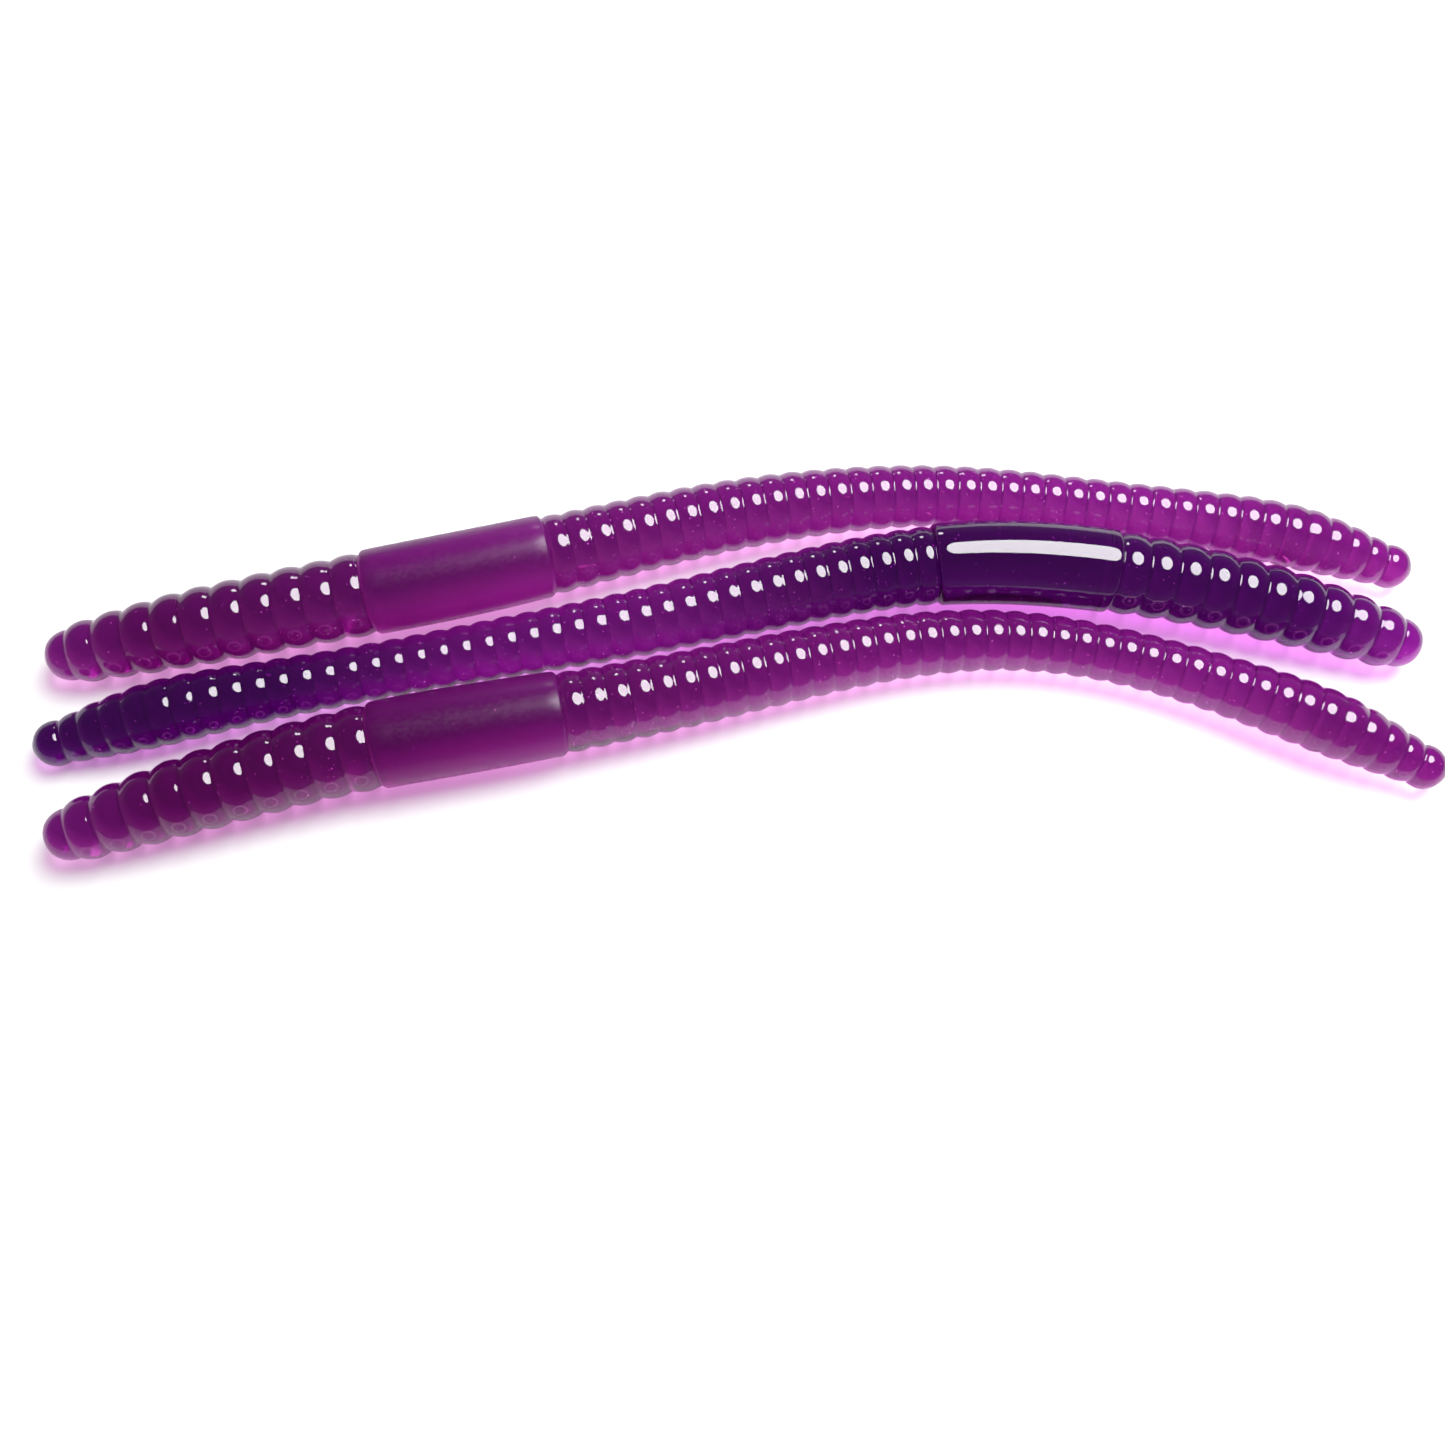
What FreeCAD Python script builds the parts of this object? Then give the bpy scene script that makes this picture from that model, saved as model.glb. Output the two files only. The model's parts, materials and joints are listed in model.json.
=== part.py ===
import FreeCAD, Part
import math
import os

import Sketcher

# Three ribbed soft plastic worms of one moulding, lying side by side on a flat surface.
#
# Each worm runs from a blunt nose through ten wide head ribs, a smooth band and thirty-nine
# narrow tail ribs to a rounded tip. The real worm is one flexible moulding. Here it is cut at
# eight of its own grooves into nine stretches. Each cut is a ball end in a hollow end, both
# centred on one hinge point of the worm's axis, so the stretches bend without meeting.
#
# Millimetres, +Z up. X runs along the worms, the surface is Z = 0, and the origin is the
# middle of the group's footprint.

# ---------------------------------------------------------------------------------------
# Driving dimensions
# ---------------------------------------------------------------------------------------

# Each cell: alias, value, what it is.
CELLS = [
    ("nose_cap_long", 2.4, "nose tip to the first groove"),
    ("nose_face_radius", 1.75, "radius of the blunt front face"),
    ("nose_face_bulge", 0.45, "how far the front face bulges"),
    ("nose_corner_radius", 1.25, "rounding between the front face and the first groove"),
    ("head_pitch", 2.65, "groove to groove in the head"),
    ("head_groove", 0.35, "depth of a head groove"),
    ("band_long", 16.5, "length of the smooth band"),
    ("band_edge_long", 1.0, "length of each rounded band edge"),
    ("band_edge_radius", 1.4, "rounding of each band edge"),
    ("band_front_radius", 3.86, "band radius at its front edge"),
    ("band_back_radius", 3.76, "band radius at its back edge"),
    ("band_bulge", 0.08, "how much the band swells in its middle"),
    ("tail_pitch", 2.02, "groove to groove in the tail"),
    ("tail_groove", 0.2, "depth of a tail groove"),
    ("tip_cap_long", 2.82, "last groove to the tail tip"),
    ("tip_face_radius", 1.05, "radius of the rounded end face"),
    ("tip_face_bulge", 0.35, "how far the end face bulges"),
    ("tip_corner_radius", 1.9, "rounding between the last groove and the end face"),
    ("seat_reach", 0.65, "groove ahead of its hinge point, as a share of the groove radius"),
    ("seat_gap", 0.1, "clearance between a ball end and its hollow end"),
]

# Radius over the ribs, at chosen grooves counted from the start of the head or the tail.
CREST_RADII = {
    "head": {0: 2.45, 2: 3.10, 4: 3.48, 7: 3.68, 10: 3.78},
    "tail": {0: 3.62, 7: 3.38, 14: 3.04, 21: 2.72, 24: 2.60, 27: 2.60,
             30: 2.72, 33: 2.95, 35: 2.98, 37: 2.62, 39: 2.05},
}
HEAD_RIBS = max(CREST_RADII["head"])
TAIL_RIBS = max(CREST_RADII["tail"])

# The grooves where the worm is cut, from nose to tail.
CUTS = [("head", 4), ("head", 10), ("tail", 0), ("tail", 7),
        ("tail", 14), ("tail", 21), ("tail", 27), ("tail", 33)]
STRETCHES = ["nose", "head", "band", "tail_1", "tail_2", "tail_3", "tail_4", "tail_5", "tail_tip"]

# How each worm lies: where the cut between tail_1 and tail_2 is, relative to the middle
# worm's, and the heading of each stretch from nose to tail, in degrees from +X.
ANCHOR_CUT = 4
WORMS = {
    "far_worm": ((-11.2, 6.8), [8, 8, 9, 11, 7, -1, -9, -13, -19]),
    "middle_worm": ((0.0, 0.0), [159, 163, 172, 185, 189, 187, 187, 188, 191]),
    "near_worm": ((-10.5, -9.0), [14, 12, 7, 8, 9, 2, -13, -23, -28]),
}

# Height of a worm's axis at its nose tip, its eight hinge points and its tail tip, so that
# each stretch lies on the surface.
AXIS_HEIGHTS = [2.42, 3.42, 3.90, 3.88, 3.40, 3.08, 2.75, 2.60, 2.97, 2.98]


def make_sheet(doc):
    """The spreadsheet of driving dimensions: plain numbers, each with an alias."""
    sheet = doc.addObject("Spreadsheet::Sheet", "sizes")
    rows = list(CELLS)
    for zone, radii in CREST_RADII.items():
        for rib, radius in radii.items():
            rows.append((f"crest_{zone}_rib_{rib}", radius, f"radius over the {zone} ribs at groove {rib}"))
    for row, (alias, number, meaning) in enumerate(rows, start=1):
        sheet.set(f"A{row}", meaning)
        sheet.set(f"B{row}", str(number))
        sheet.setAlias(f"B{row}", alias)
    doc.recompute()
    return sheet


# ---------------------------------------------------------------------------------------
# The worm's outline, as expressions of the sheet's cells
# ---------------------------------------------------------------------------------------

def cell(alias):
    return f"sizes.{alias}"


def station(zone, rib):
    """Distance of a groove from the nose tip along the worm."""
    text = f"{cell('nose_cap_long')} + {rib if zone == 'head' else HEAD_RIBS} * {cell('head_pitch')}"
    if zone == "tail":
        text += f" + {cell('band_long')} + {rib} * {cell('tail_pitch')}"
    return f"({text})"


def crest(zone, rib):
    """Radius over the ribs at a groove: the sheet's radii, joined by straight lines."""
    marks = sorted(CREST_RADII[zone])
    if rib in marks:
        return cell(f"crest_{zone}_rib_{rib}")
    before = max(mark for mark in marks if mark < rib)
    after = min(mark for mark in marks if mark > rib)
    start = cell(f"crest_{zone}_rib_{before}")
    end = cell(f"crest_{zone}_rib_{after}")
    return f"({start} + ({end} - {start}) * {rib - before} / {after - before})"


def groove_radius(zone, rib):
    return f"({crest(zone, rib)} - {cell(zone + '_groove')})"


def hinge_station(cut):
    """Distance of a cut's hinge point from the nose tip: behind the groove, towards the nose."""
    return f"({station(*cut)} - {cell('seat_reach')} * {groove_radius(*cut)})"


def bulge_radius(chord, height):
    """Radius of the arc that stands up by height over a chord."""
    return f"((({chord}) ^ 2 / 4 + ({height}) ^ 2) / (2 * ({height})))"


def ball_lip(cut):
    """How far past its hinge point a ball end meets the groove's radius."""
    root = groove_radius(*cut)
    hollow = f"({root} * sqrt(1 + {cell('seat_reach')} ^ 2))"
    return f"sqrt(({hollow} - {cell('seat_gap')}) ^ 2 - {root} ^ 2)"


def rib_run(zone, first, last):
    """Groove points from one groove to another, and the radius of the arc over each rib."""
    points = [(station(zone, rib), groove_radius(zone, rib)) for rib in range(first, last + 1)]
    arc = bulge_radius(cell(zone + "_pitch"), cell(zone + "_groove"))
    return points, [arc] * (last - first)


def nose_outline():
    points, arcs = rib_run("head", 0, 4)
    tip = [("0", "0"), (cell("nose_face_bulge"), cell("nose_face_radius"))]
    face = bulge_radius(f"2 * {cell('nose_face_radius')}", cell("nose_face_bulge"))
    return tip + points, [face, cell("nose_corner_radius")] + arcs


def band_outline():
    front = station("head", HEAD_RIBS)
    back = station("tail", 0)
    edge = cell("band_edge_long")
    points = [
        (front, groove_radius("head", HEAD_RIBS)),
        (f"({front} + {edge})", cell("band_front_radius")),
        (f"({back} - {edge})", cell("band_back_radius")),
        (back, groove_radius("tail", 0)),
    ]
    body = bulge_radius(f"{cell('band_long')} - 2 * {edge}", cell("band_bulge"))
    return points, [cell("band_edge_radius"), body, cell("band_edge_radius")]


def tip_outline():
    points, arcs = rib_run("tail", 33, TAIL_RIBS)
    end = f"({station('tail', TAIL_RIBS)} + {cell('tip_cap_long')})"
    face_start = (f"({end} - {cell('tip_face_bulge')})", cell("tip_face_radius"))
    face = bulge_radius(f"2 * {cell('tip_face_radius')}", cell("tip_face_bulge"))
    return points + [face_start, (end, "0")], arcs + [cell("tip_corner_radius"), face]


def stretch_outline(index):
    """The outline of one stretch: points from nose to tail, and the arcs between them."""
    name = STRETCHES[index]
    if name == "nose":
        return nose_outline()
    if name == "band":
        return band_outline()
    if name == "tail_tip":
        return tip_outline()
    first_cut, last_cut = CUTS[index - 1], CUTS[index]
    return rib_run(first_cut[0], first_cut[1], last_cut[1])


# ---------------------------------------------------------------------------------------
# One stretch: a sketch turned about the worm's axis
# ---------------------------------------------------------------------------------------

HORIZONTAL_AXIS = -1      # the sketch's own X axis, and with point 1 its origin
START, END, CENTRE = 1, 2, 3


def arc_between(right, left, radius):
    """The arc that bulges outwards from right to left, anticlockwise."""
    (x1, y1), (x2, y2) = right, left
    half = math.hypot(x2 - x1, y2 - y1) / 2
    depth = math.sqrt(max(radius ** 2 - half ** 2, 0.0))
    along_x, along_y = (x2 - x1) / (2 * half), (y2 - y1) / (2 * half)
    centre_x = (x1 + x2) / 2 - along_y * depth
    centre_y = (y1 + y2) / 2 + along_x * depth
    return centred_arc((centre_x, centre_y), right, left)


def centred_arc(centre, start, end):
    radius = math.hypot(start[0] - centre[0], start[1] - centre[1])
    circle = Part.Circle(FreeCAD.Vector(centre[0], centre[1], 0), FreeCAD.Vector(0, 0, 1), radius)
    first = math.atan2(start[1] - centre[1], start[0] - centre[0])
    last = math.atan2(end[1] - centre[1], end[0] - centre[0])
    if last < first:
        last += 2 * math.pi
    return Part.ArcOfCircle(circle, first, last)


class Profile:
    """A half outline drawn in a sketch, every size bound to the sheet."""

    def __init__(self, sheet, sketch):
        self.sheet = sheet
        self.sketch = sketch
        self.bindings = 0

    def number(self, text):
        return float(self.sheet.evalExpression(text))

    def bind(self, kind, places, text):
        """Add one dimension and bind it to an expression."""
        index = self.sketch.addConstraint(Sketcher.Constraint(kind, *places, self.number(text)))
        self.bindings += 1
        name = f"size_{self.bindings}"
        self.sketch.renameConstraint(index, name)
        self.sketch.setExpression(f"Constraints.{name}", text)

    def pin_point(self, geometry, point, x_text, y_text):
        for kind, text in (("DistanceX", x_text), ("DistanceY", y_text)):
            self.bind(kind, (HORIZONTAL_AXIS, START, geometry, point), text)

    def on_axis(self, geometry, point):
        self.sketch.addConstraint(Sketcher.Constraint("PointOnObject", geometry, point, HORIZONTAL_AXIS))

    def join(self, geometry, point, other, other_point):
        self.sketch.addConstraint(Sketcher.Constraint("Coincident", geometry, point, other, other_point))

    def add_arc(self, arc):
        return self.sketch.addGeometry(arc, False)


def draw_stretch(sheet, sketch, index):
    """Draw one stretch's half outline, with x measured from its nose-side hinge point."""
    profile = Profile(sheet, sketch)
    points, radii = stretch_outline(index)
    hollow_start = index > 0
    ball_end = index < len(CUTS)
    shift = hinge_station(CUTS[index - 1]) if hollow_start else "0"
    points = [(f"{x} - {shift}", radius) for x, radius in points]
    if ball_end:
        hinge = f"{hinge_station(CUTS[index])} - {shift}"
        points[-1] = (f"{hinge} + {ball_lip(CUTS[index])}", points[-1][1])
    places = [(profile.number(x), profile.number(radius)) for x, radius in points]

    left_x = math.hypot(*places[0]) if hollow_start else places[0][0]
    hinge_x = profile.number(hinge) if ball_end else 0.0
    lip_x, lip_y = places[-1]
    right_x = hinge_x + math.hypot(lip_x - hinge_x, lip_y) if ball_end else lip_x
    axis_ends = [FreeCAD.Vector(x, 0, 0) for x in (left_x, right_x)]
    axis = sketch.addGeometry(Part.LineSegment(*axis_ends), False)
    profile.on_axis(axis, END)

    previous, previous_point = axis, END
    if ball_end:
        ball = profile.add_arc(centred_arc((hinge_x, 0.0), (right_x, 0.0), places[-1]))
        profile.join(ball, START, axis, END)
        profile.on_axis(ball, CENTRE)
        profile.bind("DistanceX", (HORIZONTAL_AXIS, START, ball, CENTRE), hinge)
        previous, previous_point = ball, END

    for step in range(len(points) - 1, 0, -1):
        radius = profile.number(radii[step - 1])
        arc = profile.add_arc(arc_between(places[step], places[step - 1], radius))
        profile.join(arc, START, previous, previous_point)
        if points[step][1] == "0":
            profile.bind("DistanceX", (HORIZONTAL_AXIS, START, arc, START), points[step][0])
        else:
            profile.pin_point(arc, START, *points[step])
        profile.bind("Radius", (arc,), radii[step - 1])
        previous, previous_point = arc, END

    if hollow_start:
        hollow = profile.add_arc(centred_arc((0.0, 0.0), (left_x, 0.0), places[0]))
        profile.join(hollow, END, previous, END)
        profile.join(hollow, START, axis, START)
        profile.join(hollow, CENTRE, HORIZONTAL_AXIS, START)
        profile.pin_point(hollow, END, *points[0])
        profile.on_axis(axis, START)
    else:
        profile.join(previous, END, axis, START)
        profile.join(axis, START, HORIZONTAL_AXIS, START)


def make_stretch(doc, sheet, worm, index):
    """One stretch of one worm: its half outline turned full circle about the axis."""
    label = f"{worm}_{STRETCHES[index]}"
    body = doc.addObject("PartDesign::Body", label)
    body.Label = label
    plane = next(feature for feature in body.Origin.OriginFeatures if feature.Role == "XY_Plane")
    sketch = body.newObject("Sketcher::SketchObject", f"{label}_outline")
    sketch.AttachmentSupport = [(plane, "")]
    sketch.MapMode = "FlatFace"
    draw_stretch(sheet, sketch, index)
    turned = body.newObject("PartDesign::Revolution", f"{label}_turned")
    turned.Profile = sketch
    turned.ReferenceAxis = (sketch, ["H_Axis"])
    turned.Angle = 360.0
    return body


# ---------------------------------------------------------------------------------------
# How the worms lie
# ---------------------------------------------------------------------------------------

def worm_marks(sheet):
    """Distance from the nose and height of each end and hinge point along a worm."""
    tip = f"{station('tail', TAIL_RIBS)} + {cell('tip_cap_long')}"
    places = ["0"] + [hinge_station(cut) for cut in CUTS] + [tip]
    return [(float(sheet.evalExpression(place)), height) for place, height in zip(places, AXIS_HEIGHTS)]


def worm_chain(sheet, worm):
    """The nose tip, eight hinge points and tail tip of one worm, before it is centred."""
    (anchor_x, anchor_y), headings = WORMS[worm]
    marks = worm_marks(sheet)
    x, y = 0.0, 0.0
    chain = [FreeCAD.Vector(x, y, marks[0][1])]
    for (near, low), (far, high), heading in zip(marks, marks[1:], headings):
        flat = math.sqrt((far - near) ** 2 - (high - low) ** 2)
        x += flat * math.cos(math.radians(heading))
        y += flat * math.sin(math.radians(heading))
        chain.append(FreeCAD.Vector(x, y, high))
    anchor = chain[ANCHOR_CUT]
    move = FreeCAD.Vector(anchor_x - anchor.x, anchor_y - anchor.y, 0)
    return [point + move for point in chain]


def stretch_placement(start, end, heading):
    """Lay a stretch's X axis from one point of the chain to the next."""
    climb = math.degrees(math.asin((end.z - start.z) / (end - start).Length))
    turn = FreeCAD.Rotation(FreeCAD.Vector(0, 0, 1), heading)
    tilt = FreeCAD.Rotation(FreeCAD.Vector(0, 1, 0), -climb)
    return FreeCAD.Placement(start, turn.multiply(tilt))


def group_box(bodies):
    box = FreeCAD.BoundBox()
    for body in bodies:
        box.add(body.Shape.optimalBoundingBox())
    return box


def check(doc, bodies):
    for thing in doc.Objects:
        if "Invalid" in thing.State or "Error" in thing.State:
            raise RuntimeError(f"{thing.Label} failed: {thing.State}")
    for body in bodies:
        shape = body.Shape
        if shape.isNull() or not shape.isValid() or len(shape.Solids) != 1:
            raise RuntimeError(f"{body.Label} isn't one valid solid")


def main():
    doc = FreeCAD.newDocument("soft_plastic_worms")
    sheet = make_sheet(doc)
    bodies = []
    chains = {}
    for worm in WORMS:
        headings = WORMS[worm][1]
        chains[worm] = worm_chain(sheet, worm)
        for index, heading in enumerate(headings):
            body = make_stretch(doc, sheet, worm, index)
            body.Placement = stretch_placement(chains[worm][index], chains[worm][index + 1], heading)
            bodies.append(body)
    doc.recompute()
    check(doc, bodies)

    box = group_box(bodies)
    move = FreeCAD.Vector(-box.Center.x, -box.Center.y, -box.ZMin)
    for body in bodies:
        body.Placement = FreeCAD.Placement(body.Placement.Base + move, body.Placement.Rotation)
    doc.recompute()
    check(doc, bodies)

    os.makedirs("parts", exist_ok=True)
    for body in bodies:
        body.Shape.exportStep(f"parts/{body.Label}.step")
    for worm, chain in chains.items():
        points = ", ".join(f"({p.x + move.x:.2f}, {p.y + move.y:.2f}, {p.z + move.z:.2f})" for p in chain)
        print(f"{worm}: {points}")
    return doc


main()
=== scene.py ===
import json
import math

import bpy
import numpy as np
from bpy.props import (
    EnumProperty, FloatProperty, FloatVectorProperty, IntProperty, PointerProperty,
)
from mathutils import Matrix, Vector

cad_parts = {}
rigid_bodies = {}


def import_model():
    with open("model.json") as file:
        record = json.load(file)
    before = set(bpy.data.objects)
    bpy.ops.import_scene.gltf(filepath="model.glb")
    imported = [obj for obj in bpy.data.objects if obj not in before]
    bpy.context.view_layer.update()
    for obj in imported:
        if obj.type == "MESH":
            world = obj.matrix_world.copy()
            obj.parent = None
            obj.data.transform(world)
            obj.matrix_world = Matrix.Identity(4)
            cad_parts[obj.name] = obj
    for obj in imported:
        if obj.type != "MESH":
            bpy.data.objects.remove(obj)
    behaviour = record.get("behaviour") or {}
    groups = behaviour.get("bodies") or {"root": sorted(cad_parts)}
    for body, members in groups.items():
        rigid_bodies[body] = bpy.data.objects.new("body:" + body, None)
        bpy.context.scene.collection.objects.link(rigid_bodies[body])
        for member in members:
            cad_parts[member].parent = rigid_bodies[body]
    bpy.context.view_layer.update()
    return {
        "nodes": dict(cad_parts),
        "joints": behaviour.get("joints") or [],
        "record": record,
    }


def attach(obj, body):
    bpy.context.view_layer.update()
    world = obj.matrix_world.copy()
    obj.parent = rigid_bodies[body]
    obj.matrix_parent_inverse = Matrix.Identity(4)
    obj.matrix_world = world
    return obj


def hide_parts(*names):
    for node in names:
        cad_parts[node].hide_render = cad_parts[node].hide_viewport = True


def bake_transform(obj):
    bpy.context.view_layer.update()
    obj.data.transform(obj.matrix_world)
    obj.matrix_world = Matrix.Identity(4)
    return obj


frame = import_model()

# Three ribbed soft plastic worms of one moulding, lying side by side. Each worm's skin is made in nine
# stretches that meet at grooves of the moulding.

bl_info = {
    "name": "Soft Plastic Worms",
    "version": (1, 0, 0),
    "blender": (4, 5, 0),
    "location": "3D View > Sidebar > Soft Worms",
    "description": "Ribbed, translucent soft plastic worms around their packed frame",
    "category": "Add Mesh",
}

MM = 0.001

STRETCHES = ["nose", "head", "band", "tail_1", "tail_2", "tail_3", "tail_4", "tail_5", "tail_tip"]
WORMS = ["far_worm", "middle_worm", "near_worm"]
WORM_CHOICES = [(worm, worm.replace("_", " ").capitalize(), "") for worm in WORMS]

HEAD_RIBS = 10
TAIL_RIBS = 39

# Radius over the ribs in millimetres, at chosen grooves of the head and of the tail.
CREST_RADII = {
    "head": {0: 2.66, 2: 3.14, 4: 3.48, 7: 3.68, 10: 3.78},
    "tail": {0: 3.62, 7: 3.38, 14: 3.04, 21: 2.72, 24: 2.60, 27: 2.60,
             30: 2.72, 33: 2.95, 35: 2.98, 37: 2.62, 39: 2.05},
}

# The groove where each stretch of skin ends, and the two stretches of the frame that it lies between. The
# band is stiff, and rides on one.
SKIN_ENDS = [("head", 7), ("head", 10), ("tail", 0), ("tail", 4), ("tail", 11),
             ("tail", 18), ("tail", 24), ("tail", 30), ("tail", 40)]
SKIN_BENDS = [(0, 1), (1, 2), (2, 2), (2, 3), (3, 4), (4, 5), (5, 6), (6, 7), (7, 8)]

# The span over which a skin would bend, worked out but not used: the room left at its ends, the shortest
# span about a hinge, and where the first tail stretch's span lies, from its start.
BEND_MARGIN = 0.6 * MM
SHORTEST_BEND = 3 * MM
TAIL_START_BEND = (0.1 * MM, 2.3 * MM)

# Bubbles: room left at a stretch's ends, the usual depth under the skin, the spread of their
# sizes, and the points and rings of one ball.
BUBBLE_MARGIN = 0.3 * MM
BUBBLE_DEPTH = 0.15 * MM
BUBBLE_SPREAD = 0.3
BALL_AROUND = 6
BALL_RINGS = 3

# A painted light ring, standing in for light refracted through each rib, lies where this measure is 1. What
# lies far from any ring gets FAR_FROM_RING.
FAR_FROM_RING = 9.0
PAINTED_LIGHT_RING_EDGE = (0.05, 0.25)
PAINTED_LIGHT_RING_STRENGTH = 0.85

# Colours, as red, green, blue and opacity: a random swirl of tone and painted shade, towards the lamp and in
# the grooves, that the dye is multiplied by, painted light rings that it is mixed with, the bubbles' painted
# glint and white.
SWIRL_SHADE = (0.76, 0.60, 0.86, 1.0)
PAINTED_LAMP_SIDE_SHADE = (0.34, 0.15, 0.40, 1.0)
PAINTED_GROOVE_SHADE = (0.30, 0.12, 0.36, 1.0)
PAINTED_LIGHT_RING_COLOUR = (1.0, 0.28, 0.92, 1.0)
BUBBLE_GLINT_COLOUR = (0.95, 0.60, 0.90, 1.0)
WHITE = (1.0, 1.0, 1.0, 1.0)

# Cosines of the slant towards the lamp between which painted shade darkens the colour from none to full,
# leaving the side away from the lamp pale as painted light gathered by the round body.
PAINTED_SHADE_SLANT = (0.15, 0.72)

# Lamp light let through where it meets the skin square on, and where it is slanted by this
# much or more.
GATHER_SLANT = 0.35
GATHER_LIGHT = (1.5, 0.75)


# ---------------------------------------------------------------------------------------
# Sizes and finishes that a user would change
# ---------------------------------------------------------------------------------------

def length(name, description, millimetres):
    return FloatProperty(name=name, description=description, default=millimetres * MM,
                         min=0.0, precision=5, unit="LENGTH")


class SoftWormSizes(bpy.types.PropertyGroup):
    """The moulding's sizes, as the frame has them."""

    nose_cap: length("Nose cap", "Nose tip to the first groove", 2.4)
    nose_face: length("Nose face", "Radius of the blunt front face", 1.5)
    nose_bulge: length("Nose bulge", "How far the front face bulges", 0.5)
    nose_corner: length("Nose corner", "Rounding between front face and first groove", 2.3)
    head_pitch: length("Head pitch", "Groove to groove in the head", 2.65)
    head_groove: length("Head groove", "Depth of a head groove", 0.27)
    band_long: length("Band", "Length of the smooth band", 16.5)
    band_edge: length("Band edge", "Where the band's full radius starts in the frame", 1.0)
    skin_edge: length("Skin edge", "Length of each rounded edge of the band's skin", 0.55)
    band_front: length("Band front", "Band radius at its front edge", 3.86)
    band_back: length("Band back", "Band radius at its back edge", 3.76)
    band_bulge: length("Band bulge", "How much the band swells in its middle", 0.08)
    tail_pitch: length("Tail pitch", "Groove to groove in the tail", 2.02)
    tail_groove: length("Tail groove", "Depth of a tail groove", 0.2)
    tip_cap: length("Tip cap", "Last groove to the tail tip", 2.82)
    tip_face: length("Tip face", "Radius of the rounded end face", 1.05)
    tip_bulge: length("Tip bulge", "How far the end face bulges", 0.35)
    tip_corner: length("Tip corner", "Rounding between last groove and end face", 1.9)
    fillet: FloatProperty(name="Groove fillet", description="Share of half a rib that is rounded "
                          "into the groove", default=0.13, min=0.02, max=0.4, subtype="FACTOR")
    rest_sink: length("Rest sink", "How far the soft ribs flatten where they rest", 0.05)
    seam_gap: length("Seam gap", "Half the gap between two stretches of skin", 0.002)
    floor_gap: length("Floor gap", "Lowest that the skin comes to the surface", 0.02)
    around: IntProperty(name="Around", description="Points round the skin", default=96, min=24)
    along: IntProperty(name="Along", description="Points along half a rib", default=8, min=4)


class SoftWormPlastic(bpy.types.PropertyGroup):
    """The dyed plastic. Absorption is what each metre takes off red, green and blue."""

    outer_absorption: FloatVectorProperty(
        name="Outer absorption", description="Light taken off per metre in the outer worms",
        default=(105.0, 240.0, 120.0), size=3, min=0.0)
    middle_absorption: FloatVectorProperty(
        name="Middle absorption", description="Light taken off per metre in the middle worm",
        default=(145.0, 330.0, 140.0), size=3, min=0.0)
    # The pale colours show towards the nose, as painted light through the thinner nose, and about one place
    # of the tail.
    outer_dye: FloatVectorProperty(
        name="Outer dye", description="Colour of the outer worms", subtype="COLOR",
        default=(0.58, 0.015, 0.48), size=3, min=0.0, max=1.0)
    outer_pale_colour: FloatVectorProperty(
        name="Outer thin dye", description="Colour where the outer worms' dye is thinner",
        subtype="COLOR", default=(1.0, 0.16, 0.90), size=3, min=0.0, max=1.0)
    middle_dye: FloatVectorProperty(
        name="Middle dye", description="Colour of the middle worm", subtype="COLOR",
        default=(0.32, 0.008, 0.44), size=3, min=0.0, max=1.0)
    middle_pale_colour: FloatVectorProperty(
        name="Middle thin dye", description="Colour where the middle worm's dye is thinner",
        subtype="COLOR", default=(1.0, 0.13, 0.92), size=3, min=0.0, max=1.0)
    # Where along the tail the colour goes paler, and how far the pale nose, painted light through the
    # thinner nose, reaches.
    thin_middles: FloatVectorProperty(
        name="Thin dye places", description="Where the dye is thinnest, from the nose tip, in the "
        "far, middle and near worm", default=(0.080, 0.078, 0.084), size=3, unit="LENGTH")
    thin_reaches: FloatVectorProperty(
        name="Thin dye reaches", description="How far the thinner dye reaches each way in them",
        default=(0.078, 0.027, 0.066), size=3, min=0.001, unit="LENGTH")
    thin_shares: FloatVectorProperty(
        name="Thin dye shares", description="How much of the thinner dye shows in them",
        default=(1.0, 1.0, 0.85), size=3, min=0.0, max=1.0)
    nose_reach: length("Pale nose", "How far the thinner dye reaches back from the nose", 11.0)
    # The ring marks are painted light: pale rings standing in for light refracted through each rib.
    painted_ring_size: FloatVectorProperty(
        name="Ring size", description="Half width of the ring marks in the head and in the tail",
        default=(0.00055, 0.00034), size=2, min=0.0, unit="LENGTH", precision=5)
    painted_ring_turn: FloatProperty(name="Ring turn", description="Where the ring marks lie, from the top",
                             default=math.radians(66), subtype="ANGLE", unit="ROTATION")
    bubbles: IntProperty(name="Bubbles", description="Tiny bubbles in each stretch", default=100,
                         min=1)
    bubble_size: length("Bubble size", "Middling radius of a bubble", 0.045)
    clearness: FloatProperty(name="Clearness", description="Share of the light that passes",
                             default=0.85, min=0.0, max=1.0, subtype="FACTOR")
    ior: FloatProperty(name="IOR", description="Refraction of the plastic", default=1.5, min=1.0)
    matte_ior: FloatProperty(name="Matte IOR", description="Refraction of the matte bands",
                             default=1.3, min=1.0)
    glossy_finish: FloatVectorProperty(
        name="Glossy finish", description="Lowest and highest roughness of the ribs",
        default=(0.02, 0.06), size=2, min=0.0, max=1.0)
    matte_finish: FloatVectorProperty(
        name="Matte finish", description="Lowest and highest roughness of the outer worms' bands",
        default=(0.28, 0.42), size=2, min=0.0, max=1.0)


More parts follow.
